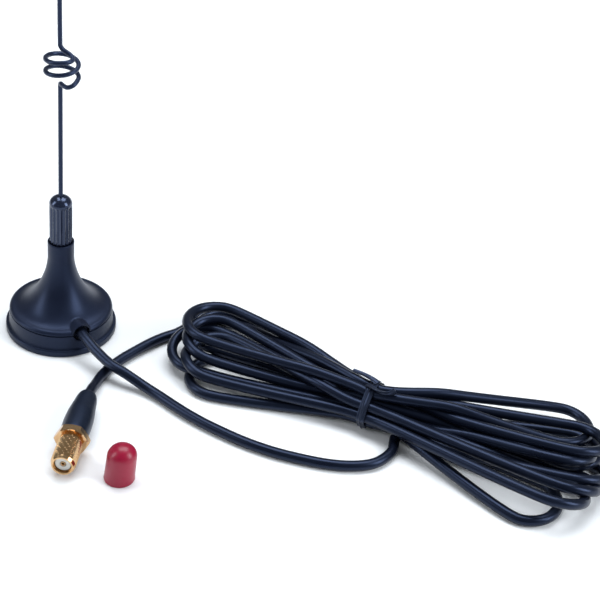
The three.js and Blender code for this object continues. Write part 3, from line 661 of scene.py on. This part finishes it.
blend = 0.3
outer_heights = []
for r, z in zip(outer_r, outer_z):
    ridge = hood_height(hood_radius, r)
    outer_heights.append((z + ridge + np.sqrt((z - ridge) ** 2 + blend ** 2)) / 2)
arch = np.maximum(cover_foot, hood_height(hole_radius, band_radius))
cover_radii = [(band_radius - 0.06) * all_round] + [r * all_round for r in outer_r]
cover_heights = [arch] + [np.maximum(h, arch + 0.06) if r > 13.5 else h
                          for r, h in zip(outer_r, outer_heights)]
inner_profile = ((3.2, neck_height - 0.05), (3.2, 23.0), (2.6, 23.0), (2.6, 15.0), (4.4, 14.8),
                 (6.0, 11.2), (8.0, 8.5), (10.0, 7.2), (11.6, 6.75), (12.7, 6.45), (12.7, cover_foot))
for r, z in inner_profile:
    cover_radii.append(r * all_round)
    tunnel = hood_height(hole_radius, r) if r > 8 else -99 * all_round
    cover_heights.append(np.maximum(z, tunnel))
cover = around_base("trumpet_cover", cover_radii, cover_heights, sharp=40)
cover_plastic = finish("black_cover_plastic", ((0.005, 0.007, 0.016), (0.007, 0.010, 0.022)),
                       (0.36, 0.44), 1300, 0.00002, gloss=0.42, shine=blue_shine)
cover.data.materials.append(cover_plastic)
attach(cover, "base")
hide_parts("base_cover")


# ---- Grommet ----
# A soft rubber ring that centres the lead in its hole.
exit_way = np.array([math.cos(exit_turn), math.sin(exit_turn), 0.0])
grommet_profile = np.array([(1.45, 9.9), (2.05, 9.9), (2.05, 12.85), (1.97, 13.0), (1.6, 13.0), (1.45, 12.8)]) * MM
grommet = turned("lead_grommet_ring", grommet_profile[:, 0], grommet_profile[:, 1], 48,
                 (0, 0, exit_height), exit_way, (0, 0, 1.0), closed=True)
rubber = finish("black_rubber", ((0.004, 0.005, 0.009), (0.007, 0.008, 0.014)), (0.6, 0.75), 900,
                0.00004, gloss=0.3, shine=blue_shine)
grommet.data.materials.append(rubber)
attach(grommet, "base")
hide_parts("lead_grommet")


# ---- Ferrule ----
# The whip's brass foot, black plated: eighteen rolled flutes, finely cross-cut near the bottom where
# fingers grip it, and a polished dome with the wire's socket in its top.
ferrule_low, ferrule_high = (np.array(corner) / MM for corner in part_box("whip_ferrule"))
ferrule_radius = 3.05
ferrule_shoulder = 39.6
dome_height = ferrule_high[2] - ferrule_shoulder
flutes = 18
wire_hole = 0.76
flute_sides = flutes * 20
flute_angle = np.arange(flute_sides) * 2 * math.pi / flute_sides
climb = np.linspace(ferrule_low[2] + 0.15, ferrule_shoulder, 120)[:, None]
fade = np.clip((ferrule_shoulder - climb) / 0.9, 0, 1)
fluted = ferrule_radius - 0.24 * np.abs(np.sin(flutes * flute_angle / 2))[None] ** 1.3 * np.sqrt(fade)
cut = np.clip((33.0 - climb) / 1.2, 0, 1)
cross = np.sin(flutes * flute_angle + climb * 5.5) * np.sin(flutes * flute_angle - climb * 5.5)
fluted = fluted - 0.045 * cut * (0.5 + 0.5 * cross)
quarter = np.radians(np.linspace(0, 90, 26))[:-1]
dome_r = ferrule_radius * np.cos(quarter)
dome_z = ferrule_shoulder + dome_height * np.sin(quarter)
stays = dome_r > 0.78
ferrule_radii = np.vstack([
    np.full((1, flute_sides), 1.65), np.full((1, flute_sides), ferrule_radius - 0.3), fluted,
    np.repeat(dome_r[stays][:, None], flute_sides, axis=1),
    np.full((1, flute_sides), wire_hole), np.full((1, flute_sides), wire_hole), np.full((1, flute_sides), 1.65)]) * MM
dome_at_hole = float(ferrule_shoulder + dome_height * math.sin(math.acos(wire_hole / ferrule_radius)))
ferrule_heights = np.concatenate([
    [ferrule_low[2], ferrule_low[2]], climb[:, 0], dome_z[stays],
    [dome_at_hole, 34.8, 34.8]]) * MM
ferrule = turned("fluted_ferrule", ferrule_radii, ferrule_heights, flute_sides, closed=True, sharp=50)
black_plate = finish("black_plate", ((0.004, 0.006, 0.014), (0.008, 0.011, 0.024)), (0.14, 0.22), 800,
                     0.00001, coat=0.25, gloss=0.7, shine=blue_shine)
ferrule.data.materials.append(black_plate)
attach(ferrule, "whip")
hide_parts("whip_ferrule")


# ---- Whip ----
# Spring-steel wire with a black coat: straight, then two open turns of phasing coil with a bent
# foot, and straight again to a rubber tip.
wire_radius = 0.6 * MM
coil_bottom = 77.9
coil_pitch = 3.45
coil_radius = 4.1
coil_offset = 0.45
coil_turns = 1.75
coil_points = 14
wire_foot = 35.1
whip_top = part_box("whip_tip")[1][2] / MM


def off_axis(x, y, z):
    """A bend of the wire, given in coil radii from the whip's axis."""
    return [x * coil_radius, y * coil_radius, z]


wire_route = [
    [0, 0, wire_foot], [0, 0, (wire_foot + coil_bottom) / 2], [0, 0, coil_bottom - 4.5],
    [0, 0, coil_bottom - 3], off_axis(0.06, -0.17, coil_bottom - 2.3),
    off_axis(0.27, -0.46, coil_bottom - 2.2), off_axis(0.56, -0.68, coil_bottom - 2.1),
    off_axis(0.88, -0.59, coil_bottom - 1.6),
]
for i in range(int(coil_turns * coil_points) + 1):
    a = 2 * math.pi * i / coil_points
    wire_route.append([coil_offset + coil_radius * math.cos(a), coil_radius * math.sin(a),
                       coil_bottom + coil_pitch * (i / coil_points - 0.25)])
coil_top = coil_bottom + coil_pitch * (coil_turns - 0.25)
wire_route += [
    off_axis(0.56, -0.83, coil_top), off_axis(0.83, -0.46, coil_top),
    off_axis(0.76, -0.2, coil_top + 0.3), off_axis(0.54, -0.05, coil_top + 0.8),
    off_axis(0.22, 0, coil_top + 1.5), off_axis(0.02, 0, coil_top + 2.6), [0, 0, coil_top + 4],
    [0, 0, (coil_top + whip_top) / 2], [0, 0, whip_top - 1.5],
]
wire = tube("whip_wire_coiled", smooth_line(np.array(wire_route) * MM, 0.5 * MM), wire_radius, 14)
coated_wire = finish("black_coated_wire", ((0.006, 0.009, 0.022), (0.010, 0.015, 0.036)), (0.28, 0.4), 1500,
                     0.00001, shine=blue_shine)
wire.data.materials.append(coated_wire)
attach(wire, "whip")
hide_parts("whip_wire")

tip_radius = 1.3
tip_length = 9.0
tip_bend = np.radians(np.linspace(90, 0, 12))
tip_r = np.concatenate([tip_radius * np.cos(tip_bend), [tip_radius, tip_radius, 1.0, 0.66, 0.66, 0]])
tip_z = np.concatenate([whip_top - tip_radius + tip_radius * np.sin(tip_bend),
                        [whip_top - 5, whip_top - tip_length + 0.4, whip_top - tip_length,
                         whip_top - tip_length, whip_top - 1.2, whip_top - 1.2]])
tip = turned("whip_rubber_tip", tip_r * MM, tip_z * MM, 48)
tip.data.materials.append(rubber)
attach(tip, "whip")
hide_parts("whip_tip")


# ---- Dust cap ----
# Dipped in red vinyl: a thimble with a domed top, a soft bead at its mouth and a slight lean.
cap_low, cap_high = (np.array(corner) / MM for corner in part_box("dust_cap"))
cap_radius = 3.95
cap_wall = 0.85
cap_side = 7.2
cap_dome = 3.4
cap_lean = math.tan(math.radians(4.5))
cap_at = np.array([cap_low[0] + cap_radius, (cap_low[1] + cap_high[1]) / 2])
wall_climb = np.linspace(0, cap_side, 24)
bead = 0.05 * np.exp(-((wall_climb - 0.45) / 0.4) ** 2)
side_r = cap_radius - 0.1 - 0.12 * wall_climb / cap_side + bead
side_r[0] -= 0.12
dome_bend = np.radians(np.linspace(0, 90, 24))[1:]
outer = np.column_stack([np.concatenate([side_r, side_r[-1] * np.cos(dome_bend)]),
                         np.concatenate([wall_climb, cap_side + cap_dome * np.sin(dome_bend)])])
inner = np.column_stack([np.concatenate([(side_r[-1] - cap_wall) * np.cos(dome_bend[::-1]), [3.15, 3.2]]),
                         np.concatenate([cap_side + (cap_dome - cap_wall) * np.sin(dome_bend[::-1]), [3.0, 0.0]])])
cap_profile = np.vstack([inner, outer])
cap_profile[0, 0] = 0
cap_profile[-1, 0] = 0
cap_angle = np.arange(96) * 2 * math.pi / 96
waver = 1 + 0.004 * np.sin(3 * cap_angle + 0.7)
cap_points = np.stack([
    cap_at[0] + cap_profile[:, :1] * waver * np.cos(cap_angle) + cap_lean * cap_profile[:, 1:],
    cap_at[1] + cap_profile[:, :1] * waver * np.sin(cap_angle),
    np.repeat(cap_profile[:, 1:], len(cap_angle), axis=1)], axis=2) * MM
cap = mesh_object("red_dust_cap", cap_points, grid_faces(len(cap_profile), len(cap_angle), round_rows=False))
cap_vinyl = finish("crimson_vinyl", ((0.24, 0.001, 0.022), (0.32, 0.002, 0.032)), (0.3, 0.4), 500, 0.00004,
                   coat=0.1, gloss=0.4)
cap_vinyl.node_tree.nodes["Principled BSDF"].inputs["Subsurface Weight"].default_value = 0.08
cap_vinyl.node_tree.nodes["Principled BSDF"].inputs["Subsurface Radius"].default_value = (0.002, 0.0004, 0.0004)
cap.data.materials.append(cap_vinyl)
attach(cap, "cap")
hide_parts("dust_cap")


# ---- Pieces inside and underneath ----
# The magnet in its steel pot, the insert and washer, the lead's end with its braid lug, the crimp
# sleeve: their shapes are plain turned and stamped ones, so each only takes its own finish.
inner_finishes = {
    "pad_vinyl": finish("pad_vinyl", ((0.02, 0.02, 0.022), (0.03, 0.03, 0.034)), (0.7, 0.85), 1500, 0.00006),
    "magnet": finish("magnet_nickel", ((0.22, 0.22, 0.24), (0.30, 0.30, 0.32)), (0.4, 0.55), 400, 0.00003,
                     metal=0.9),
    "bare_steel": finish("zinc_steel", ((0.45, 0.46, 0.48), (0.58, 0.59, 0.61)), (0.3, 0.45), 600, 0.00002,
                         metal=1.0),
    "fibre": finish("vulcanised_fibre", ((0.42, 0.30, 0.16), (0.52, 0.39, 0.22)), (0.7, 0.85), 500, 0.00004),
    "brass": finish("turned_brass", ((0.62, 0.42, 0.18), (0.72, 0.5, 0.24)), (0.25, 0.38), 700, 0.00002,
                    metal=1.0),
    "tinned": finish("tinned_copper", ((0.60, 0.60, 0.62), (0.72, 0.72, 0.74)), (0.3, 0.42), 900, 0.00003,
                     metal=1.0),
    "copper": finish("bare_copper", ((0.68, 0.3, 0.17), (0.78, 0.38, 0.22)), (0.25, 0.38), 900, 0.00002,
                     metal=1.0),
    "jacket": jacket,
    "natural_plastic": natural_plastic,
    "gold_plate": gold,
    "rubber": rubber,
    "rim_plastic": rim_plastic,
    "cover_plastic": cover_plastic,
    "black_plate": black_plate,
    "coated_wire": coated_wire,
    "tie_plastic": tie_plastic,
    "heat_shrink": heat_shrink,
    "cap_vinyl": cap_vinyl,
}
for part in frame["record"]["subparts"]:
    node = frame["nodes"][part["node"]]
    node.data.materials.clear()
    node.data.materials.append(inner_finishes[part["material_slot"]])
